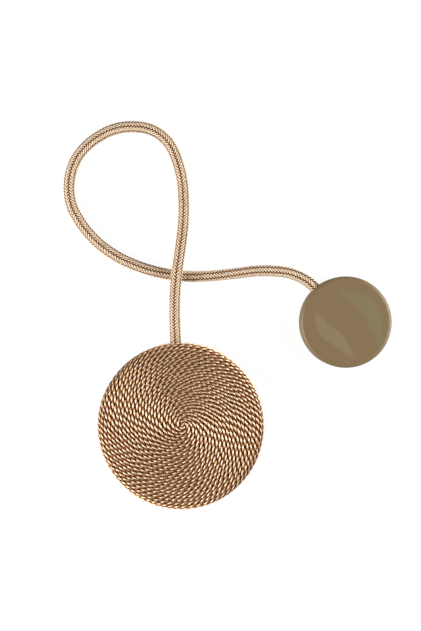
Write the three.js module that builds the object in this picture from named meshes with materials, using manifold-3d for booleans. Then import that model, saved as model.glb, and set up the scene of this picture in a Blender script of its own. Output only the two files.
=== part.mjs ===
// Magnetic curtain tieback: a domed disc wound with thin cord and a plain magnet disc, joined by a braided rope.
// Millimetres, +Z up. The tieback lies on a surface at z = 0, and the origin is the centre of the wound disc's
// flat underside.
import * as THREE from 'three';
import { mergeVertices } from 'three/addons/utils/BufferGeometryUtils.js';
import Module from 'manifold-3d';

// Wound disc: a shallow crown that rolls over into a rounded rim, above a small foot round.
const DISC_RADIUS = 37.5;
const DISC_HEIGHT = 15.5;
const CROWN_RADIUS = 130;
const RIM_RADIUS = 5;
const FOOT_RADIUS = 2;

// The thin cord that covers the disc. Its spiral starts a little away from the disc's own middle.
const CORD_PITCH = 1.73;
const CORD_RELIEF = 0.5;
const CORD_STEPS_PER_TURN = 60;
const CORD_BLUNT_END = 0.3 * CORD_PITCH;
const SPIRAL_START = { x: 2.2, y: 1.4 };

// Magnet disc: a flat moulded disc with rounded edges.
const MAGNET_RADIUS = 20.5;
const MAGNET_THICKNESS = 9;
const MAGNET_TOP_ROUND = 1.8;
const MAGNET_FOOT_ROUND = 0.8;
const MAGNET_CENTRE = { x: 74, y: 46.7 };
const MAGNET_SIDES = 72;
const MAGNET_ROUND_STEPS = 3;

// Rope between the two discs, and the round seat in each disc's side that takes its end.
const ROPE_RADIUS = 2.6;
const ROPE_SIDES = 12;
const ROPE_STEPS = 78;
const SEAT_CLEARANCE = 0.3;
const SEAT_SIDES = 24;
const SEAT_MOUTH = 12;

// Heights of the rope's centre: in each seat, lying on the surface, and where it passes over itself.
const SEAT_HEIGHT = 3.6;
const MAGNET_SEAT_HEIGHT = 4.5;
const LYING = 2.65;
const CROSSING = 8.2;

// The rope's centre from the wound disc's seat, over its own lower pass, round the loop to the magnet disc's seat.
const ROPE_ROUTE = [
  { x: -2.3, y: 31.9, z: SEAT_HEIGHT },
  { x: -2.4, y: 37.6, z: SEAT_HEIGHT },
  { x: -2.8, y: 48.4, z: 4.9 },
  { x: -2.6, y: 58.9, z: 6.8 },
  { x: -1.6, y: 69.6, z: CROSSING },
  { x: -0.1, y: 80.3, z: 7.3 },
  { x: 1.1, y: 91.1, z: 5.4 },
  { x: 1.2, y: 102.1, z: 3.7 },
  { x: 0.1, y: 113.0, z: 2.85 },
  { x: -3.2, y: 123.5, z: LYING },
  { x: -6.1, y: 128.3, z: LYING },
  { x: -10.2, y: 132.0, z: LYING },
  { x: -15.2, y: 134.3, z: LYING },
  { x: -20.6, y: 135.1, z: LYING },
  { x: -26.0, y: 134.9, z: LYING },
  { x: -31.3, y: 133.6, z: LYING },
  { x: -36.3, y: 131.2, z: LYING },
  { x: -40.9, y: 128.0, z: LYING },
  { x: -44.9, y: 124.1, z: LYING },
  { x: -48.0, y: 119.4, z: LYING },
  { x: -49.9, y: 114.2, z: LYING },
  { x: -50.7, y: 108.7, z: LYING },
  { x: -50.4, y: 103.3, z: LYING },
  { x: -49.1, y: 98.2, z: LYING },
  { x: -46.6, y: 93.5, z: LYING },
  { x: -43.7, y: 89.1, z: LYING },
  { x: -36.4, y: 81.5, z: LYING },
  { x: -27.6, y: 75.6, z: LYING },
  { x: -17.9, y: 71.4, z: LYING },
  { x: -7.6, y: 68.6, z: LYING },
  { x: 2.9, y: 67.4, z: LYING },
  { x: 13.8, y: 67.6, z: LYING },
  { x: 24.6, y: 68.7, z: LYING },
  { x: 35.4, y: 69.9, z: 2.85 },
  { x: 46.4, y: 69.4, z: 3.4 },
  { x: 51.9, y: 67.9, z: 3.9 },
  { x: 56.8, y: 65.3, z: 4.4 },
  { x: 60.4, y: 62.1, z: MAGNET_SEAT_HEIGHT },
  { x: 64.4, y: 58.2, z: MAGNET_SEAT_HEIGHT },
];

const CORD_COLOUR = 0xb8895c;
const ROPE_COLOUR = 0xbc9468;
const MAGNET_COLOUR = 0x8a7555;

const wasm = await Module();
wasm.setup();

function toSolid(geometry) {
  const plain = geometry.clone();
  plain.deleteAttribute('normal');
  plain.deleteAttribute('uv');
  const merged = mergeVertices(plain);
  return new wasm.Manifold(new wasm.Mesh({
    numProp: 3,
    vertProperties: new Float32Array(merged.attributes.position.array),
    triVerts: new Uint32Array(merged.index.array),
  }));
}

function toGeometry(solid) {
  const { vertProperties, triVerts } = solid.getMesh();
  const geometry = new THREE.BufferGeometry();
  geometry.setAttribute('position', new THREE.BufferAttribute(vertProperties, 3));
  geometry.setIndex(new THREE.BufferAttribute(triVerts, 1));
  geometry.computeVertexNormals();
  return geometry;
}

function routePoint({ x, y, z }) {
  return new THREE.Vector3(x, y, z);
}

// Half section of the wound disc, from the top of the crown down to the edge of the flat underside.
function discOutline() {
  const rimX = DISC_RADIUS - RIM_RADIUS;
  const crownAngle = Math.asin(rimX / (CROWN_RADIUS - RIM_RADIUS));
  const rimZ = DISC_HEIGHT - CROWN_RADIUS + (CROWN_RADIUS - RIM_RADIUS) * Math.cos(crownAngle);
  const outline = new THREE.Path();
  outline.absarc(0, DISC_HEIGHT - CROWN_RADIUS, CROWN_RADIUS, Math.PI / 2, Math.PI / 2 - crownAngle, true);
  outline.absarc(rimX, rimZ, RIM_RADIUS, Math.PI / 2 - crownAngle, 0, true);
  outline.lineTo(DISC_RADIUS, FOOT_RADIUS);
  outline.absarc(DISC_RADIUS - FOOT_RADIUS, FOOT_RADIUS, FOOT_RADIUS, 0, -Math.PI / 2, true);
  return { outline, length: outline.getLength(), crownLength: CROWN_RADIUS * crownAngle };
}

// The wound form: one spiral ridge runs from the crown to the foot, with a crest on each turn and a valley between
// neighbouring turns, and a flat underside closes it.
function woundForm() {
  const { outline, length, crownLength } = discOutline();
  const turns = Math.round(length / CORD_PITCH);
  const pitch = length / turns;
  const points = [];
  const faces = [];

  function place(travel, step, sink) {
    const angle = (2 * Math.PI * (step % CORD_STEPS_PER_TURN)) / CORD_STEPS_PER_TURN;
    const at = outline.getPoint(travel / length);
    const along = outline.getTangent(travel / length);
    const radius = at.x + sink * along.y;
    const drift = Math.max(0, 1 - travel / crownLength) ** 2;
    const x = radius * Math.cos(angle) + SPIRAL_START.x * drift;
    const y = radius * Math.sin(angle) + SPIRAL_START.y * drift;
    const crownFall = (x * x + y * y - radius * radius) / (2 * CROWN_RADIUS);
    points.push(x, y, at.y - sink * along.x - crownFall);
    return points.length / 3 - 1;
  }

  function face(a, b, c) {
    if (a !== b && b !== c && c !== a) faces.push(a, b, c);
  }

  function strip(inner, innerNext, outer, outerNext) {
    face(inner, outer, outerNext);
    face(inner, outerNext, innerNext);
  }

  // How far the crest has travelled from the top, with a blunt end to the cord at the start and at the foot.
  function crestTravel(step) {
    const travel = (step / CORD_STEPS_PER_TURN - 1) * pitch;
    if (travel < CORD_BLUNT_END) return 0;
    if (travel > length - CORD_BLUNT_END) return length;
    return travel;
  }

  const top = place(0, 0, 0);
  const foot = [];
  for (let step = 0; step < CORD_STEPS_PER_TURN; step += 1) foot.push(place(length, step, 0));

  const lastStep = (turns + 1) * CORD_STEPS_PER_TURN;
  const crest = [];
  for (let step = 0; step <= lastStep + CORD_STEPS_PER_TURN; step += 1) {
    const travel = crestTravel(step);
    if (travel === 0) crest.push(top);
    else if (travel === length) crest.push(foot[step % CORD_STEPS_PER_TURN]);
    else crest.push(place(travel, step, 0));
  }

  const valley = [];
  for (let step = 0; step <= lastStep; step += 1) {
    const inner = crestTravel(step);
    const outer = crestTravel(step + CORD_STEPS_PER_TURN);
    const sink = (CORD_RELIEF * (outer - inner)) / pitch;
    valley.push(inner === outer ? crest[step] : place((inner + outer) / 2, step, sink));
  }

  for (let step = 0; step < lastStep; step += 1) {
    const over = step + CORD_STEPS_PER_TURN;
    strip(crest[step], crest[step + 1], valley[step], valley[step + 1]);
    strip(valley[step], valley[step + 1], crest[over], crest[over + 1]);
  }

  points.push(0, 0, 0);
  const middle = points.length / 3 - 1;
  foot.forEach((corner, step) => face(middle, foot[(step + 1) % foot.length], corner));

  const geometry = new THREE.BufferGeometry();
  geometry.setAttribute('position', new THREE.Float32BufferAttribute(points, 3));
  geometry.setIndex(faces);
  return geometry;
}

// Plain disc with a small round at its foot and a fuller one at its top edge.
function magnetForm() {
  const half = new THREE.Path();
  half.moveTo(0, 0);
  half.lineTo(MAGNET_RADIUS - MAGNET_FOOT_ROUND, 0);
  half.absarc(MAGNET_RADIUS - MAGNET_FOOT_ROUND, MAGNET_FOOT_ROUND, MAGNET_FOOT_ROUND, -Math.PI / 2, 0, false);
  const topRoundZ = MAGNET_THICKNESS - MAGNET_TOP_ROUND;
  half.lineTo(MAGNET_RADIUS, topRoundZ);
  half.absarc(MAGNET_RADIUS - MAGNET_TOP_ROUND, topRoundZ, MAGNET_TOP_ROUND, 0, Math.PI / 2, false);
  half.lineTo(0, MAGNET_THICKNESS);
  const geometry = new THREE.LatheGeometry(half.getPoints(MAGNET_ROUND_STEPS), MAGNET_SIDES);
  geometry.rotateX(Math.PI / 2);
  geometry.translate(MAGNET_CENTRE.x, MAGNET_CENTRE.y, 0);
  return geometry;
}

// Round seat for a rope end: it runs from a little past the end, out through the disc's side.
function seatForm(end, outside) {
  const out = outside.clone().sub(end).normalize();
  const bottom = end.clone().addScaledVector(out, -SEAT_CLEARANCE);
  const geometry = new THREE.CylinderGeometry(
    ROPE_RADIUS + SEAT_CLEARANCE, ROPE_RADIUS + SEAT_CLEARANCE, SEAT_MOUTH, SEAT_SIDES,
  );
  geometry.applyQuaternion(new THREE.Quaternion().setFromUnitVectors(new THREE.Vector3(0, 1, 0), out));
  const centre = bottom.addScaledVector(out, SEAT_MOUTH / 2);
  geometry.translate(centre.x, centre.y, centre.z);
  return geometry;
}

function seated(form, end, outside) {
  return toGeometry(toSolid(form).subtract(toSolid(seatForm(end, outside))));
}

function ropeForm(route) {
  const section = [];
  for (let side = 0; side < ROPE_SIDES; side += 1) {
    const angle = (2 * Math.PI * side) / ROPE_SIDES;
    section.push(new THREE.Vector2(ROPE_RADIUS * Math.cos(angle), ROPE_RADIUS * Math.sin(angle)));
  }
  return new THREE.ExtrudeGeometry(new THREE.Shape(section), {
    steps: ROPE_STEPS,
    bevelEnabled: false,
    extrudePath: new THREE.CatmullRomCurve3(route),
  });
}

function piece(name, geometry, color, roughness) {
  const mesh = new THREE.Mesh(geometry, new THREE.MeshStandardMaterial({ color, roughness, metalness: 0 }));
  mesh.name = name;
  return mesh;
}

const route = ROPE_ROUTE.map(routePoint);
const tieback = new THREE.Group();
tieback.add(
  piece('wound_disc', seated(woundForm(), route.at(0), route.at(1)), CORD_COLOUR, 0.6),
  piece('rope', ropeForm(route), ROPE_COLOUR, 0.55),
  piece('magnet_disc', seated(magnetForm(), route.at(-1), route.at(-2)), MAGNET_COLOUR, 0.3),
);

export default tieback;
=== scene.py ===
import math
from bisect import bisect_right
from itertools import accumulate, pairwise

import bmesh
import bpy
from bpy.props import FloatProperty, FloatVectorProperty, IntProperty, PointerProperty
from bpy.types import Operator, Panel, PropertyGroup
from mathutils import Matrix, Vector


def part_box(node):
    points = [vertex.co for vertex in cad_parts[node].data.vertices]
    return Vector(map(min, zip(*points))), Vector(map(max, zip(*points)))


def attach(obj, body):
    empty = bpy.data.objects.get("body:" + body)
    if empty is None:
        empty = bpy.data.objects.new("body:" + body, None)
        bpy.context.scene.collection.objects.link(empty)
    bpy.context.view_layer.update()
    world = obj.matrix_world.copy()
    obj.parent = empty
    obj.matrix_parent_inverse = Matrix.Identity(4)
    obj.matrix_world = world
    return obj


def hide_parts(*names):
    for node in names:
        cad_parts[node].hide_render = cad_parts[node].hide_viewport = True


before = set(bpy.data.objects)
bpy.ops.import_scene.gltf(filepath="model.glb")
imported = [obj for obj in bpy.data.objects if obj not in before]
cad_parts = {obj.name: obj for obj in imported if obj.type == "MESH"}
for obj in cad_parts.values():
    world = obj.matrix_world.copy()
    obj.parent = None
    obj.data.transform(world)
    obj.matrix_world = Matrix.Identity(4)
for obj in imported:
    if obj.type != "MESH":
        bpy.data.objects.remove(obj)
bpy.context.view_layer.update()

bl_info = {
    "name": "Magnetic Curtain Tieback",
    "version": (1, 0, 0),
    "blender": (4, 5, 0),
    "location": "3D View > Sidebar > Tieback",
    "description": "A wound cord disc and a magnet disc joined by a braided rope, over the packed frame",
    "category": "Object",
}

FULL_TURN = 2 * math.pi
QUARTER_TURN = math.pi / 2
UP = Vector((0, 0, 1))

# Sizes that the frame gives. The wound disc's middle is the origin.
DISC_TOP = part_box("wound_disc")[1]
MAGNET_LOW, MAGNET_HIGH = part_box("magnet_disc")
MAGNET_MIDDLE = (MAGNET_LOW + MAGNET_HIGH) / 2

# The rope's centre in metres, as in the part: from the wound disc's seat, over its own lower pass and round
# the loop to the magnet disc's seat.
LYING = 0.00265
ROPE_ROUTE = (
    (-0.0023, 0.0319, 0.0036),
    (-0.0024, 0.0376, 0.0036),
    (-0.0028, 0.0484, 0.0049),
    (-0.0026, 0.0589, 0.0068),
    (-0.0016, 0.0696, 0.0082),
    (-0.0001, 0.0803, 0.0073),
    (0.0011, 0.0911, 0.0054),
    (0.0012, 0.1021, 0.0037),
    (0.0001, 0.1130, 0.00285),
    (-0.0032, 0.1235, LYING),
    (-0.0061, 0.1283, LYING),
    (-0.0102, 0.1320, LYING),
    (-0.0152, 0.1343, LYING),
    (-0.0206, 0.1351, LYING),
    (-0.0260, 0.1349, LYING),
    (-0.0313, 0.1336, LYING),
    (-0.0363, 0.1312, LYING),
    (-0.0409, 0.1280, LYING),
    (-0.0449, 0.1241, LYING),
    (-0.0480, 0.1194, LYING),
    (-0.0499, 0.1142, LYING),
    (-0.0507, 0.1087, LYING),
    (-0.0504, 0.1033, LYING),
    (-0.0491, 0.0982, LYING),
    (-0.0466, 0.0935, LYING),
    (-0.0437, 0.0891, LYING),
    (-0.0364, 0.0815, LYING),
    (-0.0276, 0.0756, LYING),
    (-0.0179, 0.0714, LYING),
    (-0.0076, 0.0686, LYING),
    (0.0029, 0.0674, LYING),
    (0.0138, 0.0676, LYING),
    (0.0246, 0.0687, LYING),
    (0.0354, 0.0699, 0.00285),
    (0.0464, 0.0694, 0.0034),
    (0.0519, 0.0679, 0.0039),
    (0.0568, 0.0653, 0.0044),
    (0.0604, 0.0621, 0.0045),
    (0.0644, 0.0582, 0.0045),
)

# The round blind seats that take the rope's ends.
SEAT_CLEARANCE = 0.0003
SEAT_MOUTH = 0.012

# The wound cord, in shares of its thickness: a ply's radius and its reach to each side, how far the core lies
# below the cord's outside, and how far the cord's own line stays clear of the rope.
PLY_RADIUS = 0.25
PLY_SPREAD = 0.34
CORE_INSET = 0.65
ROPE_GAP = 0.4

# The twist of the wound cord wavers, by up to half of these turns each way.
WAVER_TURNS = 0.9
WAVERS_PER_METRE = 30.0
WAVER_DETAIL = 1.0

# The wound cord's inner end is sunk, and has come up after this share of its first turn.
SUNK_TURNS = 0.7

# The braid: where its first yarn stands, in steps from yarn to yarn, how far a yarn swings in and out, as a
# share of its depth, and the core's radius, as a share of the rope's thickness.
BRAID_START = 0.25
YARN_SWING = 0.45
ROPE_CORE = 0.3

# How far the braid is rolled to the right, in degrees, at shares of the rope's length.
ROPE_ROLL = ((0.0, 25), (0.72, 28), (0.86, -9), (1.0, -15))

# How a yarn's size, and the height that colours it, follow its rise from -1 to 1: two rises, and the shares
# that they give.
# That height gives painted shade where a yarn dives under the others and a painted highlight where it lies on
# top.
YARN_SWELL = (0.0, 0.7, 0.6, 1.0)
RISE_HEIGHT = (-0.1, 0.5, 0.4, 1.0)

# How that height also follows the way the yarn's skin faces, from inwards at -1 to outwards at 1, so that a
# yarn's sides take painted shade.
SKIN_HEIGHT = (-0.3, 0.8, 0.35, 1.0)

# A ring this far inside each rounded edge keeps the magnet disc's flat faces shaded flat.
FLAT_MARGIN = 0.001

# How finely lines and forms are divided.
ROUTE_STEPS = 24
ROPE_STEPS_PER_TURN = 34
CORD_SPACING = 0.00066
WINDING_STEPS = 120
CORE_STEPS = 16
FOOT_STEPS = 8
TOP_STEPS = 12
CORE_SIDES = 128
MAGNET_SIDES = 160
SEAT_SIDES = 48
PLY_SIDES = 8
YARN_SIDES = 6
ROPE_CORE_SIDES = 8
CREASE = math.radians(35)

# Noise runs from 0 to 1.
NOISE_MIDDLE = 0.5

# Satin yarn: how fine its fibres and its changes of tone are, and how it shines.
FIBRES_AROUND = 5.0
FIBRES_PER_METRE = 700.0
FIBRES_PER_STRAND = 17.0
FIBRE_DETAIL = 2.0
FIBRE_LIFT = 0.3
FIBRE_BUMP = 0.35
FIBRE_DEPTH = 0.00012
FIBRE_ROUGHNESS = 0.1
TONES_PER_METRE = 90.0
TONES_PER_STRAND = 9.0
TONE_DETAIL = 1.0
TONE_LOW = 0.35
TONE_SHARE = 0.5
YARN_ROUGHNESS = 0.50
YARN_SPECULAR = 0.1
SHEEN_TURN = 0.30
GLOSS_ROUGHNESS = 0.42
GLOSS_IOR = 1.8
FUZZ_ROUGHNESS = 0.5

# The plain cloth under the wound cord, in painted shade: the yarn's deep colour and darker.
WEAVE_SCALE = 900.0
WEAVE_DETAIL = 3.0
WEAVE_LOW = 0.3
WEAVE_HIGH = 0.7
WEAVE_DARK = 0.5
WEAVE_BUMP = 0.4
WEAVE_DEPTH = 0.0002
CLOTH_ROUGHNESS = 0.85

# The magnet disc's plastic. A swirl's middle is from the disc's, its slope is in degrees, and its bow is a
# share of its half width.
PALE_SWIRL = {
    "middle": (-0.0066, -0.0042, 0),
    "slope": -49,
    "half_length": 0.0135,
    "half_width": 0.0036,
    "bow": -0.9,
}
OLIVE_SWIRL = {
    "middle": (0.0062, 0.0040, 0),
    "slope": -53,
    "half_length": 0.0158,
    "half_width": 0.0042,
    "bow": 1.4,
}
SWIRL_EDGE = 0.35
DRIFT_SCALE = 55.0
DRIFT_DETAIL = 0.0
DRIFT_REACH = 0.008
CLOUD_SCALE = 90.0
CLOUD_DETAIL = 2.0
CLOUD_SHARE = 0.8
CLOUD_LEAST = 0.5
GRAIN_SCALE = 500.0
GRAIN_DETAIL = 2.0
GRAIN_BUMP = 0.05
GRAIN_DEPTH = 0.0002
GRAIN_ROUGHNESS = 0.1
PLASTIC_ROUGHNESS = 0.38

# The photograph looks straight down. Its frame is 421 by 631 pixels, and the lens is given in pixels.
CAMERA_PLACE = (0.01333, 0.04966, 0.45)
FRAME_HEIGHT = 631
LENS_PIXELS = 988.1
SENSOR_HEIGHT = 36
NEAREST_SEEN = 0.01

# The softboxes stand at these places from the point below the camera, and face it.
LEFT_SOFTBOX = (-0.54, -0.17, 0.26)
RIGHT_SOFTBOX = (0.57, 0.10, 0.21)
FRONT_SOFTBOX = (0.0, -0.60, 0.16)
SOFTBOX_WIDTH = 0.6
SOFTBOX_HEIGHT = 0.45

# The room's heights at which each level of light is reached, from 0 straight below to 1 straight above.
BOUNCE_HEIGHT = 0.5
HORIZON_HEIGHT = 0.525
OVERHEAD_HEIGHT = 0.65

# The floor lies just below the tieback.
FLOOR_REACH = 10.0
FLOOR_DROP = 0.00005
FLOOR_ROUGHNESS = 0.9
WHITE = (1, 1, 1)

# The curve from display colours to linear ones.
DISPLAY_WHITE = 255
CURVE_START = 0.04045
START_SLOPE = 12.92
CURVE_SHIFT = 0.055
CURVE_POWER = 2.4


def shade(red, green, blue):
    """A display colour, 0 to 255, as the linear colour that shaders take."""
    def linear(level):
        part = level / DISPLAY_WHITE
        if part <= CURVE_START:
            return part / START_SLOPE
        return ((part + CURVE_SHIFT) / (1 + CURVE_SHIFT)) ** CURVE_POWER
    return linear(red), linear(green), linear(blue)


def grey(level):
    return (level,) * 3


def opaque(colour):
    return *colour, 1.0


def size_setting(name, description, default):
    return FloatProperty(name=name, description=description, default=default, unit="LENGTH", precision=5)


def share_setting(name, description, default):
    return FloatProperty(name=name, description=description, default=default, min=0, max=1, subtype="FACTOR")


def level_setting(name, description, default):
    return FloatProperty(name=name, description=description, default=default, min=0)


def power_setting(name, description, default):
    return FloatProperty(name=name, description=description, default=default, unit="POWER")


def colour_setting(name, description, default):
    return FloatVectorProperty(
        name=name, description=description, default=default, subtype="COLOR", min=0, max=1
    )


class WoundDiscLook(PropertyGroup):
    radius: size_setting("Radius", "Over the wound cord", DISC_TOP.x)
    height: size_setting("Height", "Of the crown above the surface", DISC_TOP.z)
    crown_radius: size_setting("Crown radius", "Curve of the shallow top", 0.130)
    rim_radius: size_setting("Rim radius", "Curve that rolls the top over into the side", 0.005)
    cord_thickness: size_setting("Cord thickness", "Also the gap from one turn to the next", 0.00173)
    cord_lay: size_setting("Cord lay", "Length of cord in which a ply goes round once", 0.00554)
    plies: IntProperty(name="Plies", description="Yarns twisted into the cord", default=2, min=2)
    start_x: size_setting("Start across", "Where the spiral starts, from the disc's middle", 0.0014)
    start_y: size_setting("Start along", "Where the spiral starts, from the disc's middle", 0.0014)
    # The deep colour is painted shade between the plies, and the pale colour is a painted highlight on their
    # tops.
    deep: colour_setting("Deep colour", "Between the plies", shade(144, 91, 46))
    middle: colour_setting("Middle colour", "On the sides of the plies", shade(214, 163, 110))
    pale: colour_setting("Pale colour", "On top of the plies", shade(254, 228, 197))
    deep_level: share_setting("Deep level", "Height on a ply up to which it is deep", 0.40)
    middle_level: share_setting("Middle level", "Height on a ply at which it has its middle colour", 0.59)
    pale_level: share_setting("Pale level", "Height on a ply from which it is pale", 0.78)
    sheen: share_setting("Sheen", "Share of silky sheen on top of the plies", 0.8)
    stretch: share_setting("Stretch", "How far the sheen is drawn out across the cord", 0.8)
    gloss: share_setting("Gloss", "Share of white gloss on top of the plies", 0.0)
    fuzz: share_setting("Fuzz", "Share of pale fuzz, seen at the edges", 0.12)


class RopeLook(PropertyGroup):
    thickness: size_setting("Thickness", "Over the braid", 0.0052)
    lay: size_setting("Lay", "Length of rope in which a yarn goes round once", 0.0167)
    yarns: IntProperty(name="Yarns", description="Yarns that run each way round", default=12, min=4)
    floats: IntProperty(name="Floats", description="Times a yarn lies on top in one turn", default=3, min=1)
    yarn_width: size_setting("Yarn width", "Across one yarn, at its widest", 0.00082)
    yarn_depth: size_setting("Yarn depth", "Through one yarn, at its thickest", 0.00066)
    # The deep colour is painted shade where yarns dive under and between them, and the pale colour is a
    # painted highlight on their tops.
    deep: colour_setting("Deep colour", "Between the yarns", shade(104, 44, 2))
    middle: colour_setting("Middle colour", "On the sides of the yarns", shade(170, 108, 46))
    pale: colour_setting("Pale colour", "On top of the yarns", shade(247, 223, 190))
    deep_level: share_setting("Deep level", "Height in the braid up to which a yarn is deep", 0.48)
    middle_level: share_setting("Middle level", "Height in the braid for a yarn's middle colour", 0.69)
    pale_level: share_setting("Pale level", "Height in the braid from which a yarn is pale", 0.85)
    sheen: share_setting("Sheen", "Share of silky sheen on top of the yarns", 0.0)
    stretch: share_setting("Stretch", "How far the sheen is drawn out across the yarns", 0.0)
    gloss: share_setting("Gloss", "Share of white gloss on top of the yarns", 0.5)
    fuzz: share_setting("Fuzz", "Share of pale fuzz, seen at the edges", 0.1)


class MagnetDiscLook(PropertyGroup):
    radius: size_setting("Radius", "Of the moulding", (MAGNET_HIGH.x - MAGNET_LOW.x) / 2)
    thickness: size_setting("Thickness", "Of the moulding", MAGNET_HIGH.z)
    top_round: size_setting("Top round", "Radius of the upper edge", 0.0018)
    foot_round: size_setting("Foot round", "Radius of the lower edge", 0.0008)
    khaki: colour_setting("Khaki", "Main colour of the plastic", shade(134, 113, 79))
    olive: colour_setting("Olive", "Colour of the right swirl in the plastic", shade(134, 121, 86))
    pale: colour_setting("Pale", "Colour of the left swirl in the plastic", shade(142, 125, 92))


class StageLook(PropertyGroup):
    floor: colour_setting("Floor", "Colour of the floor", grey(0.12))
    backdrop: colour_setting("Backdrop", "Colour behind the floor, as the camera sees it", grey(0.96))
    floor_glow: level_setting("Floor glow", "Light that the floor gives", 0.93)
    side_power: power_setting("Side power", "Of each side softbox", 5.7)
    front_power: power_setting("Front power", "Of the front softbox", 0.1)
    horizon: level_setting("Horizon", "Brightness of the room near the floor", 0.5)
    overhead: level_setting("Overhead", "Brightness of the room overhead", 0.10)
    bounce: level_setting("Bounce", "Brightness of what the floor sends back", 0.4)


class TiebackLook(PropertyGroup):
    stage: PointerProperty(type=StageLook)
    rope: PointerProperty(type=RopeLook)
    wound_disc: PointerProperty(type=WoundDiscLook)
    magnet_disc: PointerProperty(type=MagnetDiscLook)


class Wire:
    """One output of a node, so that maths on it reads as an expression."""

    def __init__(self, wiring, node, output):
        self.wiring = wiring
        self.node = node
        self.socket = node.outputs[output]

    def out(self, output):
        """Another output of the same node."""
        return Wire(self.wiring, self.node, output)

    def __add__(self, other):
        return self.wiring.maths("ADD", self, other)

    def __sub__(self, other):
        return self.wiring.maths("SUBTRACT", self, other)

    def __rsub__(self, other):
        return self.wiring.maths("SUBTRACT", other, self)

    def __mul__(self, other):
        return self.wiring.maths("MULTIPLY", self, other)

    def __truediv__(self, other):
        return self.wiring.maths("DIVIDE", self, other)

    def __gt__(self, other):
        return self.wiring.maths("GREATER_THAN", self, other)


class Wiring:
    """A node tree in the making."""

    def __init__(self, tree):
        self.tree = tree
        tree.nodes.clear()

    def node(self, kind, settings=None, sockets=None, output=0):
        """Adds a node, with its settings and then the values or links of its sockets."""
        made = self.tree.nodes.new(kind)
        for name, value in (settings or {}).items():
            setattr(made, name, value)
        for name, value in (sockets or {}).items():
            if isinstance(value, Wire):
                self.tree.links.new(value.socket, made.inputs[name])
            else:
                made.inputs[name].default_value = value
        return Wire(self, made, output) if made.outputs else None

    def maths(self, operation, first, second=0.0):
        return self.node("ShaderNodeMath", {"operation": operation}, {0: first, 1: second})

    def vectors(self, operation, first, second):
        return self.node("ShaderNodeVectorMath", {"operation": operation}, {0: first, 1: second})

    def scaled(self, vector, factor):
        return self.node("ShaderNodeVectorMath", {"operation": "SCALE"}, {0: vector, "Scale": factor})

    def normalized(self, vector):
        return self.node("ShaderNodeVectorMath", {"operation": "NORMALIZE"}, {0: vector})

    def parts(self, vector):
        """A vector's X. Its Y and Z are the same node's other outputs."""
        return self.node("ShaderNodeSeparateXYZ", {}, {0: vector})

    def combined(self, x, y, z):
        return self.node("ShaderNodeCombineXYZ", {}, {0: x, 1: y, 2: z})

    def ranged(self, value, low, high, first=0.0, last=1.0):
        """A value that goes from first to last while another goes from low to high, and stays within them."""
        return self.node("ShaderNodeMapRange", {}, {"Value": value, 1: low, 2: high, 3: first, 4: last})

    def noise(self, place, detail, scale=1.0, output=0):
        sockets = {"Vector": place, "Scale": scale, "Detail": detail}
        return self.node("ShaderNodeTexNoise", {}, sockets, output)

    def bump(self, height, strength, depth):
        sockets = {"Strength": strength, "Distance": depth, "Height": height}
        return self.node("ShaderNodeBump", {}, sockets)

    def mixed(self, factor, first, second, blend="MIX"):
        settings = {"data_type": "RGBA", "blend_type": blend}
        return self.node("ShaderNodeMix", settings, {0: factor, 6: first, 7: second}, 2)

    def ramp(self, factor, stops):
        """A colour that runs through stops, each a place and its colour."""
        colour = self.node("ShaderNodeValToRGB", {}, {"Fac": factor})
        elements = colour.node.color_ramp.elements
        while len(elements) < len(stops):
            elements.new(1.0)
        for element, (place, stop) in zip(elements, stops):
            element.position = place
            element.color = opaque(stop)
        return colour


class GeometryWiring(Wiring):
    """A Geometry Nodes tree in the making."""

    def __init__(self, name):
        super().__init__(bpy.data.node_groups.new(name, "GeometryNodeTree"))
        self.inlet = self.tree.nodes.new("NodeGroupInput")

    def inlet_for(self, name, kind):
        """A named input of the tree, such as one of its sizes."""
        self.tree.interface.new_socket(name, in_out="INPUT", socket_type="NodeSocket" + kind)
        return Wire(self, self.inlet, name)

    def stored(self, geometry, name, value, kind="FLOAT"):
        sockets = {"Geometry": geometry, "Name": name, "Value": value}
        return self.node("GeometryNodeStoreNamedAttribute", {"data_type": kind, "domain": "POINT"}, sockets)

    def named(self, name, kind="FLOAT"):
        return self.node("GeometryNodeInputNamedAttribute", {"data_type": kind}, {"Name": name})

    def position(self):
        return self.node("GeometryNodeInputPosition")

    def lines(self, path):
        return self.node("GeometryNodeMeshToCurve", {}, {"Mesh": path})

    def copied(self, lines, amount):
        """Copies of lines, each with its number in the attribute strand."""
        sockets = {"Geometry": lines, "Amount": amount}
        copies = self.node("GeometryNodeDuplicateElements", {"domain": "SPLINE"}, sockets)
        return self.stored(copies, "strand", copies.out("Duplicate Index"))

    def cross_section(self, sides, half_depth, half_width):
        """An oval section whose points keep their own direction in the attribute around."""
        sockets = {"Resolution": sides, "Radius": 1.0}
        circle = self.node("GeometryNodeCurvePrimitiveCircle", {"mode": "RADIUS"}, sockets)
        marked = self.stored(circle, "around", self.position(), "FLOAT_VECTOR")
        oval = self.combined(half_depth, half_width, 1.0)
        return self.node("GeometryNodeTransform", {}, {"Geometry": marked, "Scale": oval})

    def swept(self, curves, section, swell=1.0):
        sockets = {"Curve": curves, "Profile Curve": section, "Scale": swell, "Fill Caps": True}
        return self.node("GeometryNodeCurveToMesh", {}, sockets)

    def finish(self, geometry, material, spent):
        """Drops the attributes that are spent, smooths the result and ends the tree."""
        for name in spent:
            geometry = self.node("GeometryNodeRemoveAttribute", {}, {"Geometry": geometry, "Name": name})
        smooth = self.node("GeometryNodeSetShadeSmooth", {}, {"Geometry": geometry})
        real = self.node("GeometryNodeRealizeInstances", {}, {"Geometry": smooth})
        dressed = self.node("GeometryNodeSetMaterial", {}, {"Geometry": real, "Material": material})
        self.tree.interface.new_socket("Geometry", in_out="OUTPUT", socket_type="NodeSocketGeometry")
        self.node("NodeGroupOutput", {}, {0: dressed})
        return self.tree


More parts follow.
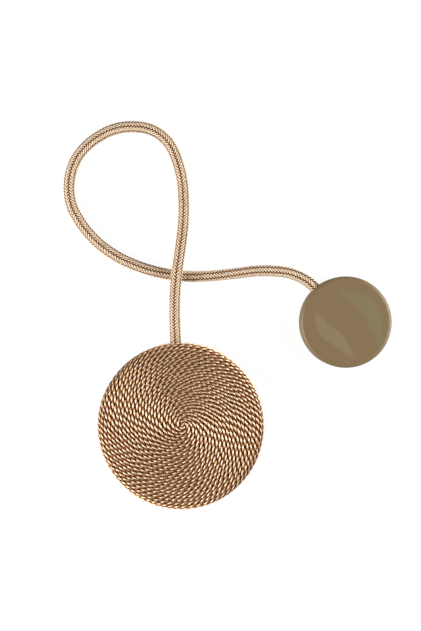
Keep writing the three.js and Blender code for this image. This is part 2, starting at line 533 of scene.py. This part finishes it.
def link(name, content):
    """A new object in the scene, with its mesh, lens or lamp."""
    made = bpy.data.objects.new(name, content)
    bpy.context.scene.collection.objects.link(made)
    return made


def evaluated_mesh(holder):
    graph = bpy.context.evaluated_depsgraph_get()
    return bpy.data.meshes.new_from_object(
        holder.evaluated_get(graph), preserve_all_data_layers=True, depsgraph=graph
    )


def grown_along(name, path, tree, sizes):
    """The plain mesh that a tree makes along a path, as an object."""
    holder = link(name + "_path", path)
    modifier = holder.modifiers.new("Yarns", "NODES")
    modifier.node_group = tree
    for socket in tree.interface.items_tree:
        if socket.in_out == "INPUT" and socket.name in sizes:
            modifier[socket.identifier] = sizes[socket.name]
    mesh = evaluated_mesh(holder)
    mesh.name = name
    bpy.data.objects.remove(holder)
    bpy.data.meshes.remove(path)
    return link(name, mesh)


def path_mesh(name, points, edges):
    """A path as loose edges, with the length travelled at each point in the attribute travel."""
    mesh = bpy.data.meshes.new(name)
    mesh.from_pydata(points, edges, [])
    mesh.attributes.new("travel", "FLOAT", "POINT").data.foreach_set("value", travelled(points))
    return mesh


def travelled(points):
    return list(accumulate(((b - a).length for a, b in pairwise(points)), initial=0.0))


def spaced(points, spacing):
    """Points about a spacing apart along a line of close points."""
    travel = travelled(points)
    count = math.ceil(travel[-1] / spacing)
    made = []
    for step in range(count + 1):
        goal = travel[-1] * step / count
        index = min(bisect_right(travel, goal), len(points) - 1)
        part = (goal - travel[index - 1]) / (travel[index] - travel[index - 1])
        made.append(points[index - 1].lerp(points[index], part))
    return made


def smooth_route(route):
    """A centripetal Catmull-Rom curve through a route's points."""
    points = [Vector(point) for point in route]
    points = [2 * points[0] - points[1], *points, 2 * points[-1] - points[-2]]
    knots = list(accumulate((math.sqrt((b - a).length) for a, b in pairwise(points)), initial=0.0))

    def between(first, second, low, high, knot):
        return first.lerp(second, (knot - low) / (high - low))

    curve = []
    for i in range(1, len(points) - 2):
        p0, p1, p2, p3 = points[i - 1:i + 3]
        k0, k1, k2, k3 = knots[i - 1:i + 3]
        for step in range(ROUTE_STEPS):
            knot = k1 + (k2 - k1) * step / ROUTE_STEPS
            a1 = between(p0, p1, k0, k1, knot)
            a2 = between(p1, p2, k1, k2, knot)
            a3 = between(p2, p3, k2, k3, knot)
            b1 = between(a1, a2, k0, k2, knot)
            b2 = between(a2, a3, k1, k3, knot)
            curve.append(between(b1, b2, k1, k2, knot))
    return [*curve, points[-2]]


def arc(middle_x, middle_z, radius, start, end, steps):
    """Points (across, up) on an arc of a half section."""
    angles = (start + (end - start) * step / steps for step in range(steps + 1))
    return [(middle_x + radius * math.cos(angle), middle_z + radius * math.sin(angle)) for angle in angles]


def turned(name, section, sides, middle_x=0.0, middle_y=0.0):
    """A closed turned form from a half section that runs from the axis, outwards and up, back to the axis."""
    form = bmesh.new()
    rings = []
    for across, up in section[1:-1]:
        angles = (FULL_TURN * side / sides for side in range(sides))
        rings.append([
            form.verts.new((middle_x + across * math.cos(angle), middle_y + across * math.sin(angle), up))
            for angle in angles
        ])
    foot = form.verts.new((middle_x, middle_y, section[0][1]))
    crown = form.verts.new((middle_x, middle_y, section[-1][1]))
    for side in range(sides):
        after = (side + 1) % sides
        form.faces.new((foot, rings[0][after], rings[0][side]))
        form.faces.new((crown, rings[-1][side], rings[-1][after]))
        for lower, upper in pairwise(rings):
            form.faces.new((lower[side], lower[after], upper[after], upper[side]))
    mesh = bpy.data.meshes.new(name)
    form.to_mesh(mesh)
    form.free()
    return link(name, mesh)


def cut_seat(piece, end, outside, rope_radius):
    """Cuts the round blind seat for a rope end into a piece's side."""
    end = Vector(end)
    out = (Vector(outside) - end).normalized()
    place = out.to_track_quat("Z", "Y").to_matrix().to_4x4()
    place.translation = end + out * (SEAT_MOUTH / 2 - SEAT_CLEARANCE)
    radius = rope_radius + SEAT_CLEARANCE
    form = bmesh.new()
    bmesh.ops.create_cone(
        form, cap_ends=True, segments=SEAT_SIDES, radius1=radius, radius2=radius, depth=SEAT_MOUTH,
        matrix=place,
    )
    mesh = bpy.data.meshes.new("seat")
    form.to_mesh(mesh)
    form.free()
    cutter = link("seat", mesh)
    cut = piece.modifiers.new("Seat", "BOOLEAN")
    cut.object = cutter
    whole = piece.data
    piece.data = evaluated_mesh(piece)
    piece.modifiers.remove(cut)
    bpy.data.objects.remove(cutter)
    bpy.data.meshes.remove(mesh)
    bpy.data.meshes.remove(whole)


def smooth_faces(piece):
    piece.data.shade_smooth()
    piece.data.set_sharp_from_angle(angle=CREASE)


def material_wiring(name):
    material = bpy.data.materials.new(name)
    material.use_nodes = True
    return material, Wiring(material.node_tree)


def surface(wiring, **sockets):
    """Ends a material in one Principled shader. Socket names have _ for a space."""
    named = {name.replace("_", " "): value for name, value in sockets.items()}
    shader = wiring.node("ShaderNodeBsdfPrincipled", {}, named)
    wiring.node("ShaderNodeOutputMaterial", {}, {"Surface": shader})


def satin_yarn(name, look):
    """Satin yarn: a painted highlight in its pale colour on the crown of each yarn, painted shade in its deep
    colour between yarns, with fine fibres that run along it.
    """
    material, wiring = material_wiring(name)

    def attribute(named, output="Fac"):
        return wiring.node("ShaderNodeAttribute", {"attribute_name": named}, {}, output)

    travel = attribute("travel")
    strand = attribute("strand")
    crown = attribute("crown")
    around = wiring.parts(attribute("around", "Vector"))
    fibre_travel = travel * FIBRES_PER_METRE + strand * FIBRES_PER_STRAND
    fibre_place = wiring.combined(around * FIBRES_AROUND, around.out(1) * FIBRES_AROUND, fibre_travel)
    fibres = wiring.noise(fibre_place, FIBRE_DETAIL)
    tone_place = wiring.combined(strand * TONES_PER_STRAND, 0.0, travel * TONES_PER_METRE)
    tone = wiring.noise(tone_place, TONE_DETAIL)
    height = crown + (fibres - NOISE_MIDDLE) * FIBRE_LIFT
    # Painted shade low on a yarn and a painted highlight on its top, by its crown; random tone then darkens
    # it here and there.
    stops = ((look.deep_level, look.deep), (look.middle_level, look.middle), (look.pale_level, look.pale))
    colour = wiring.ramp(height, stops)
    toned_shade_and_highlight = wiring.mixed((tone - TONE_LOW) * TONE_SHARE, colour, opaque(look.middle), "MULTIPLY")
    raised = wiring.ranged(crown, look.deep_level, look.pale_level)
    surface(
        wiring,
        Base_Color=toned_shade_and_highlight,
        Roughness=fibres * FIBRE_ROUGHNESS + YARN_ROUGHNESS,
        Metallic=raised * look.sheen,
        Normal=wiring.bump(fibres, FIBRE_BUMP, FIBRE_DEPTH),
        Specular_IOR_Level=YARN_SPECULAR,
        Anisotropic=look.stretch,
        Anisotropic_Rotation=SHEEN_TURN,
        Coat_Weight=raised * look.gloss,
        Coat_Roughness=GLOSS_ROUGHNESS,
        Coat_IOR=GLOSS_IOR,
        Sheen_Weight=look.fuzz,
        Sheen_Roughness=FUZZ_ROUGHNESS,
    )
    return material


def core_cloth(look):
    """Plain cloth under the wound cord and on the disc's back, in painted shade: the yarn's deep colour and
    darker.
    """
    material, wiring = material_wiring("core cloth")
    place = wiring.node("ShaderNodeTexCoord", output="Object")
    weave = wiring.noise(place, WEAVE_DETAIL, WEAVE_SCALE)
    # Painted shade: the weave runs from half the deep colour up to the deep colour.
    dark = tuple(part * WEAVE_DARK for part in look.deep)
    colour = wiring.ramp(weave, ((WEAVE_LOW, dark), (WEAVE_HIGH, look.deep)))
    bump = wiring.bump(weave, WEAVE_BUMP, WEAVE_DEPTH)
    surface(wiring, Base_Color=colour, Roughness=CLOTH_ROUGHNESS, Normal=bump)
    return material


def swirl_mask(wiring, place, middle, slope, half_length, half_width, bow):
    """A soft mask for a swirl on the magnet disc's face, 1 inside: a leaf that is bent by its bow."""
    sockets = {
        "Vector": place,
        "Location": MAGNET_MIDDLE + Vector(middle),
        "Rotation": (0, 0, math.radians(slope)),
        "Scale": (half_length, half_width, 1.0),
    }
    along = wiring.parts(wiring.node("ShaderNodeMapping", {"vector_type": "TEXTURE"}, sockets))
    across = along.out(1) + (along * along - 0.5) * bow
    return wiring.ranged(1.0 - along * along - across * across, 0.0, SWIRL_EDGE)


def streaked_plastic(look):
    """Glossy khaki plastic with two faint swirls that run from the upper left to the lower right."""
    material, wiring = material_wiring("streaked plastic")
    place = wiring.node("ShaderNodeTexCoord", output="Object")
    drift = wiring.noise(place, DRIFT_DETAIL, DRIFT_SCALE, "Color")
    sway = wiring.scaled(wiring.vectors("SUBTRACT", drift, grey(NOISE_MIDDLE)), DRIFT_REACH)
    swayed = wiring.vectors("ADD", place, sway)
    cloudy = wiring.noise(swayed, CLOUD_DETAIL, CLOUD_SCALE) * CLOUD_SHARE + CLOUD_LEAST
    olive_swirl = swirl_mask(wiring, swayed, **OLIVE_SWIRL)
    pale_swirl = swirl_mask(wiring, swayed, **PALE_SWIRL)
    colour = wiring.mixed(olive_swirl * cloudy, opaque(look.khaki), opaque(look.olive))
    colour = wiring.mixed(pale_swirl * cloudy, colour, opaque(look.pale))
    grain = wiring.noise(place, GRAIN_DETAIL, GRAIN_SCALE)
    roughness = grain * GRAIN_ROUGHNESS + PLASTIC_ROUGHNESS
    bump = wiring.bump(grain, GRAIN_BUMP, GRAIN_DEPTH)
    surface(wiring, Base_Color=colour, Roughness=roughness, Normal=bump)
    return material


def pale_floor(look):
    """A floor that glows, so that it stays pale under the tieback."""
    material, wiring = material_wiring("pale floor")
    surface(
        wiring, Base_Color=opaque(look.floor), Roughness=FLOOR_ROUGHNESS, Specular_IOR_Level=0.0,
        Emission_Color=opaque(WHITE), Emission_Strength=look.floor_glow,
    )
    return material


def round_path(wiring, angle, above, across_reach, above_reach):
    """The way from a path to a yarn at an angle round it, counted from the path's right side over its top."""
    tangent = wiring.node("GeometryNodeInputTangent")
    side = wiring.normalized(wiring.vectors("CROSS_PRODUCT", tangent, above))
    top = wiring.vectors("CROSS_PRODUCT", side, tangent)
    across = wiring.scaled(side, wiring.maths("COSINE", angle) * across_reach)
    upward = wiring.scaled(top, wiring.maths("SINE", angle) * above_reach)
    return wiring.vectors("ADD", across, upward)


def yarns_along(wiring, curves, offset, section, swell=1.0):
    """Moves each copied line out to its yarn's place and sweeps along it a section that faces outwards."""
    marked = wiring.stored(curves, "offset", offset, "FLOAT_VECTOR")
    marked = wiring.stored(marked, "axis", wiring.position(), "FLOAT_VECTOR")
    kept_offset = wiring.named("offset", "FLOAT_VECTOR")
    moved = wiring.node("GeometryNodeSetPosition", {}, {"Geometry": marked, "Offset": kept_offset})
    sockets = {"Curve": moved, "Normal": wiring.normalized(kept_offset)}
    facing = wiring.node("GeometryNodeSetCurveNormal", {"mode": "FREE"}, sockets)
    return wiring.swept(facing, section, swell)


def twisted_cord_tree(material):
    """Plies that twist round a path. Their turns rise to the left, seen along the cord."""
    wiring = GeometryWiring("Twisted cord")
    path = wiring.inlet_for("Path", "Geometry")
    plies = wiring.inlet_for("Plies", "Int")
    lay = wiring.inlet_for("Lay", "Float")
    thickness = wiring.inlet_for("Thickness", "Float")
    copies = wiring.copied(wiring.lines(path), plies)
    travel = wiring.named("travel")
    sockets = {"W": travel, "Scale": WAVERS_PER_METRE, "Detail": WAVER_DETAIL}
    waver = wiring.node("ShaderNodeTexNoise", {"noise_dimensions": "1D"}, sockets)
    turn = travel / lay + (waver - NOISE_MIDDLE) * WAVER_TURNS + wiring.named("strand") / plies
    outward = wiring.named("outward", "FLOAT_VECTOR")
    half = thickness * 0.5
    ply_radius = thickness * PLY_RADIUS
    offset = round_path(wiring, turn * FULL_TURN, outward, thickness * PLY_SPREAD, half - ply_radius)
    section = wiring.cross_section(PLY_SIDES, ply_radius, ply_radius)
    cord = yarns_along(wiring, copies, offset, section)
    # The crown is how far a point stands out from the cord's line; the yarn's colour turns it into painted
    # shade low on the plies and a painted highlight on top.
    from_axis = wiring.vectors("SUBTRACT", wiring.position(), wiring.named("axis", "FLOAT_VECTOR"))
    out = wiring.vectors("DOT_PRODUCT", from_axis, outward).out("Value")
    crowned = wiring.stored(cord, "crown", out / half)
    return wiring.finish(crowned, material, ("offset", "axis", "outward"))


def braid_tree(material):
    """Two sets of yarns that run opposite ways round a path and go over and under each other in floats."""
    wiring = GeometryWiring("Round braid")
    path = wiring.inlet_for("Path", "Geometry")
    yarns = wiring.inlet_for("Yarns", "Int")
    lay = wiring.inlet_for("Lay", "Float")
    thickness = wiring.inlet_for("Thickness", "Float")
    width = wiring.inlet_for("Yarn width", "Float")
    depth = wiring.inlet_for("Yarn depth", "Float")
    floats = wiring.inlet_for("Floats", "Int")
    lines = wiring.lines(path)
    copies = wiring.copied(lines, yarns * 2.0)
    strand = wiring.named("strand")
    hand = 1.0 - (strand > yarns - 0.5) * 2.0
    turn = hand * wiring.named("travel") / lay + (strand + BRAID_START) / yarns
    angle = turn * FULL_TURN
    rise = hand * wiring.maths("SINE", angle * floats)
    marked = wiring.stored(copies, "rise", rise)
    half_depth = depth * 0.5
    swing = depth * YARN_SWING
    reach = thickness * 0.5 - half_depth - swing + swing * rise
    offset = round_path(wiring, angle - wiring.named("roll"), UP, reach, reach)
    section = wiring.cross_section(YARN_SIDES, half_depth, width * 0.5)
    kept_rise = wiring.named("rise")
    braid = yarns_along(wiring, marked, offset, section, wiring.ranged(kept_rise, *YARN_SWELL))
    # The crown rises with the yarn and with the way its skin faces; the yarn's colour turns it into painted
    # shade where yarns dive under and on their sides, and a painted highlight on top.
    facing = wiring.parts(wiring.named("around", "FLOAT_VECTOR"))
    height = wiring.ranged(kept_rise, *RISE_HEIGHT) * wiring.ranged(facing, *SKIN_HEIGHT)
    crowned = wiring.stored(braid, "crown", height)
    # The core has no crown, so it takes the deep colour: a dark core of painted shade that fills the gaps
    # between the yarns.
    core_radius = thickness * ROPE_CORE
    core = wiring.swept(lines, wiring.cross_section(ROPE_CORE_SIDES, core_radius, core_radius))
    joined = wiring.node("GeometryNodeJoinGeometry", {}, {"Geometry": crowned})
    wiring.tree.links.new(core.socket, joined.node.inputs["Geometry"])
    return wiring.finish(joined, material, ("offset", "axis", "rise", "roll"))


def disc_section(look, inset, steps):
    """Half section of the wound disc's top, set in from its outside, from the middle to the rim's end."""
    rim_x = look.radius - look.rim_radius
    crown_angle = math.asin(rim_x / (look.crown_radius - look.rim_radius))
    crown_z = look.height - look.crown_radius
    rim_z = crown_z + (look.crown_radius - look.rim_radius) * math.cos(crown_angle)
    crown_end = QUARTER_TURN - crown_angle
    crown = arc(0.0, crown_z, look.crown_radius - inset, QUARTER_TURN, crown_end, steps)
    rim = arc(rim_x, rim_z, look.rim_radius - inset, crown_end, 0.0, steps)
    return [*crown, *rim[1:]]


def wound_path(look, gap_x, gap_z, gap_radius):
    """The wound cord's own line, from the crown's middle to the foot, left open where the rope goes in."""
    half = look.cord_thickness / 2
    section = disc_section(look, half, WINDING_STEPS)
    section.append((section[-1][0], look.cord_thickness * (PLY_SPREAD + PLY_RADIUS)))
    line = [Vector((across, 0, up)) for across, up in section]
    travel = travelled(line)
    crown_travel = travel[WINDING_STEPS]
    start = Vector((look.start_x, look.start_y, 0))
    points = []
    outward = []
    down = 0.0
    angle = 0.0
    while down < travel[-1]:
        index = min(bisect_right(travel, down), len(line) - 1)
        low = line[index - 1]
        high = line[index]
        at = low.lerp(high, (down - travel[index - 1]) / (travel[index] - travel[index - 1]))
        along = (high - low).normalized()
        drift = max(0.0, 1 - down / crown_travel) ** 2
        place = Vector((at.x * math.cos(angle), at.x * math.sin(angle), at.z)) + start * drift
        crown_fall = (place.x ** 2 + place.y ** 2 - at.x ** 2) / (2 * look.crown_radius)
        sunk_end = half * max(0.0, 1 - angle / (SUNK_TURNS * FULL_TURN)) ** 2
        points.append(place - UP * (crown_fall + sunk_end))
        outward.append(Vector((-along.z * math.cos(angle), -along.z * math.sin(angle), along.x)))
        angle += CORD_SPACING / max(at.x, half)
        down = angle / FULL_TURN * look.cord_thickness

    def clear(point):
        return point.y < 0 or math.hypot(point.x - gap_x, point.z - gap_z) > gap_radius

    edges = [(i, i + 1) for i, (a, b) in enumerate(pairwise(points)) if clear(a) and clear(b)]
    path = path_mesh("wound_cord_path", points, edges)
    flat = [part for way in outward for part in way]
    path.attributes.new("outward", "FLOAT_VECTOR", "POINT").data.foreach_set("vector", flat)
    return path


def rope_roll(share):
    """The braid's roll at a share of the rope's length, as an angle."""
    for (low, first), (high, last) in pairwise(ROPE_ROLL):
        if share <= high:
            return math.radians(first + (last - first) * (share - low) / (high - low))


class TIEBACK_OT_stage(Operator):
    """Adds the camera over the tieback, the pale floor, the softboxes and the room's light"""

    bl_idname = "tieback.stage"
    bl_label = "Stage"

    def execute(self, context):
        look = context.scene.tieback.stage
        scene = context.scene
        scene.view_settings.view_transform = "Standard"
        scene.cycles.denoising_prefilter = "NONE"

        lens = bpy.data.cameras.new("camera")
        lens.sensor_fit = "VERTICAL"
        lens.sensor_height = SENSOR_HEIGHT
        lens.lens = LENS_PIXELS * SENSOR_HEIGHT / FRAME_HEIGHT
        lens.clip_start = NEAREST_SEEN
        camera = link("camera", lens)
        camera.location = CAMERA_PLACE
        scene.camera = camera

        floor_mesh = bpy.data.meshes.new("floor")
        sides = ((-1, -1), (1, -1), (1, 1), (-1, 1))
        corners = [(x * FLOOR_REACH, y * FLOOR_REACH, -FLOOR_DROP) for x, y in sides]
        floor_mesh.from_pydata(corners, [], [(0, 1, 2, 3)])
        floor_mesh.materials.append(pale_floor(look))
        floor = link("floor", floor_mesh)
        floor.visible_diffuse = False
        floor.visible_glossy = False

        aim = Vector((CAMERA_PLACE[0], CAMERA_PLACE[1], 0))
        softboxes = (
            ("left softbox", LEFT_SOFTBOX, look.side_power),
            ("right softbox", RIGHT_SOFTBOX, look.side_power),
            ("front softbox", FRONT_SOFTBOX, look.front_power),
        )
        for name, offset, power in softboxes:
            lamp = bpy.data.lights.new(name, "AREA")
            lamp.shape = "RECTANGLE"
            lamp.size = SOFTBOX_WIDTH
            lamp.size_y = SOFTBOX_HEIGHT
            lamp.energy = power
            softbox = link(name, lamp)
            softbox.location = aim + Vector(offset)
            softbox.rotation_euler = (-Vector(offset)).to_track_quat("-Z", "Y").to_euler()

        room = bpy.data.worlds.new("room")
        room.use_nodes = True
        wiring = Wiring(room.node_tree)
        way = wiring.node("ShaderNodeTexCoord", output="Generated")
        height = wiring.ranged(wiring.parts(way).out("Z"), -1.0, 1.0)
        sky = wiring.ramp(height, (
            (BOUNCE_HEIGHT, grey(look.bounce)),
            (HORIZON_HEIGHT, grey(look.horizon)),
            (OVERHEAD_HEIGHT, grey(look.overhead)),
        ))
        seen = wiring.node("ShaderNodeLightPath", output="Is Camera Ray")
        room_colour = wiring.mixed(seen, sky, opaque(look.backdrop))
        light = wiring.node("ShaderNodeBackground", {}, {"Color": room_colour})
        wiring.node("ShaderNodeOutputWorld", {}, {"Surface": light})
        scene.world = room
        return {"FINISHED"}


class TIEBACK_OT_rope(Operator):
    """Braids the rope along its route between the two discs"""

    bl_idname = "tieback.rope"
    bl_label = "Rope"

    def execute(self, context):
        look = context.scene.tieback.rope
        points = spaced(smooth_route(ROPE_ROUTE), look.lay / ROPE_STEPS_PER_TURN)
        edges = list(pairwise(range(len(points))))
        path = path_mesh("rope_path", points, edges)
        rolls = [rope_roll(index / (len(points) - 1)) for index in range(len(points))]
        path.attributes.new("roll", "FLOAT", "POINT").data.foreach_set("value", rolls)
        sizes = {
            "Yarns": look.yarns,
            "Floats": look.floats,
            "Lay": look.lay,
            "Thickness": look.thickness,
            "Yarn width": look.yarn_width,
            "Yarn depth": look.yarn_depth,
        }
        rope = grown_along("braided_rope", path, braid_tree(satin_yarn("rope yarn", look)), sizes)
        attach(rope, "root")
        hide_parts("rope")
        return {"FINISHED"}


class TIEBACK_OT_wound_disc(Operator):
    """Winds the twisted cord over the domed disc"""

    bl_idname = "tieback.wound_disc"
    bl_label = "Wound disc"

    def execute(self, context):
        look = context.scene.tieback.wound_disc
        rope_radius = context.scene.tieback.rope.thickness / 2
        end = ROPE_ROUTE[0]

        section = disc_section(look, look.cord_thickness * CORE_INSET, CORE_STEPS)
        section = [(0.0, 0.0), (section[-1][0], 0.0), *reversed(section)]
        core = turned("wound_core", section, CORE_SIDES)
        core.data.materials.append(core_cloth(look))
        cut_seat(core, end, ROPE_ROUTE[1], rope_radius)
        smooth_faces(core)

        path = wound_path(look, end[0], end[2], rope_radius + look.cord_thickness * ROPE_GAP)
        sizes = {"Plies": look.plies, "Lay": look.cord_lay, "Thickness": look.cord_thickness}
        cord = grown_along("wound_cord", path, twisted_cord_tree(satin_yarn("wound yarn", look)), sizes)

        for piece in (core, cord):
            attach(piece, "root")
        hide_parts("wound_disc")
        return {"FINISHED"}


class TIEBACK_OT_magnet_disc(Operator):
    """Turns the glossy magnet disc, with the rope's seat in its side"""

    bl_idname = "tieback.magnet_disc"
    bl_label = "Magnet disc"

    def execute(self, context):
        look = context.scene.tieback.magnet_disc
        rope_radius = context.scene.tieback.rope.thickness / 2
        foot_x = look.radius - look.foot_round
        top_x = look.radius - look.top_round
        top_z = look.thickness - look.top_round
        section = [
            (0.0, 0.0),
            (foot_x - FLAT_MARGIN, 0.0),
            *arc(foot_x, look.foot_round, look.foot_round, -QUARTER_TURN, 0.0, FOOT_STEPS),
            *arc(top_x, top_z, look.top_round, 0.0, QUARTER_TURN, TOP_STEPS),
            (top_x - FLAT_MARGIN, look.thickness),
            (0.0, look.thickness),
        ]
        disc = turned("magnet_moulding", section, MAGNET_SIDES, MAGNET_MIDDLE.x, MAGNET_MIDDLE.y)
        disc.data.materials.append(streaked_plastic(look))
        cut_seat(disc, ROPE_ROUTE[-1], ROPE_ROUTE[-2], rope_radius)
        smooth_faces(disc)
        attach(disc, "root")
        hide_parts("magnet_disc")
        return {"FINISHED"}


class TIEBACK_PT_panel(Panel):
    """Lists the tieback's pieces with their sizes and colours"""

    bl_idname = "TIEBACK_PT_panel"
    bl_label = "Tieback"
    bl_space_type = "VIEW_3D"
    bl_region_type = "UI"
    bl_category = "Tieback"

    def draw(self, context):
        tieback = context.scene.tieback
        for operator, look in (
            (TIEBACK_OT_stage, tieback.stage),
            (TIEBACK_OT_rope, tieback.rope),
            (TIEBACK_OT_wound_disc, tieback.wound_disc),
            (TIEBACK_OT_magnet_disc, tieback.magnet_disc),
        ):
            group = self.layout.box()
            group.operator(operator.bl_idname)
            for name in look.__annotations__:
                group.prop(look, name)


CLASSES = (
    StageLook,
    RopeLook,
    WoundDiscLook,
    MagnetDiscLook,
    TiebackLook,
    TIEBACK_OT_stage,
    TIEBACK_OT_rope,
    TIEBACK_OT_wound_disc,
    TIEBACK_OT_magnet_disc,
    TIEBACK_PT_panel,
)


def register():
    for made in CLASSES:
        bpy.utils.register_class(made)
    bpy.types.Scene.tieback = PointerProperty(type=TiebackLook)


def unregister():
    del bpy.types.Scene.tieback
    for made in reversed(CLASSES):
        bpy.utils.unregister_class(made)


def main():
    register()
    bpy.ops.tieback.stage()
    bpy.ops.tieback.rope()
    bpy.ops.tieback.wound_disc()
    bpy.ops.tieback.magnet_disc()


if __name__ == "__main__":
    main()
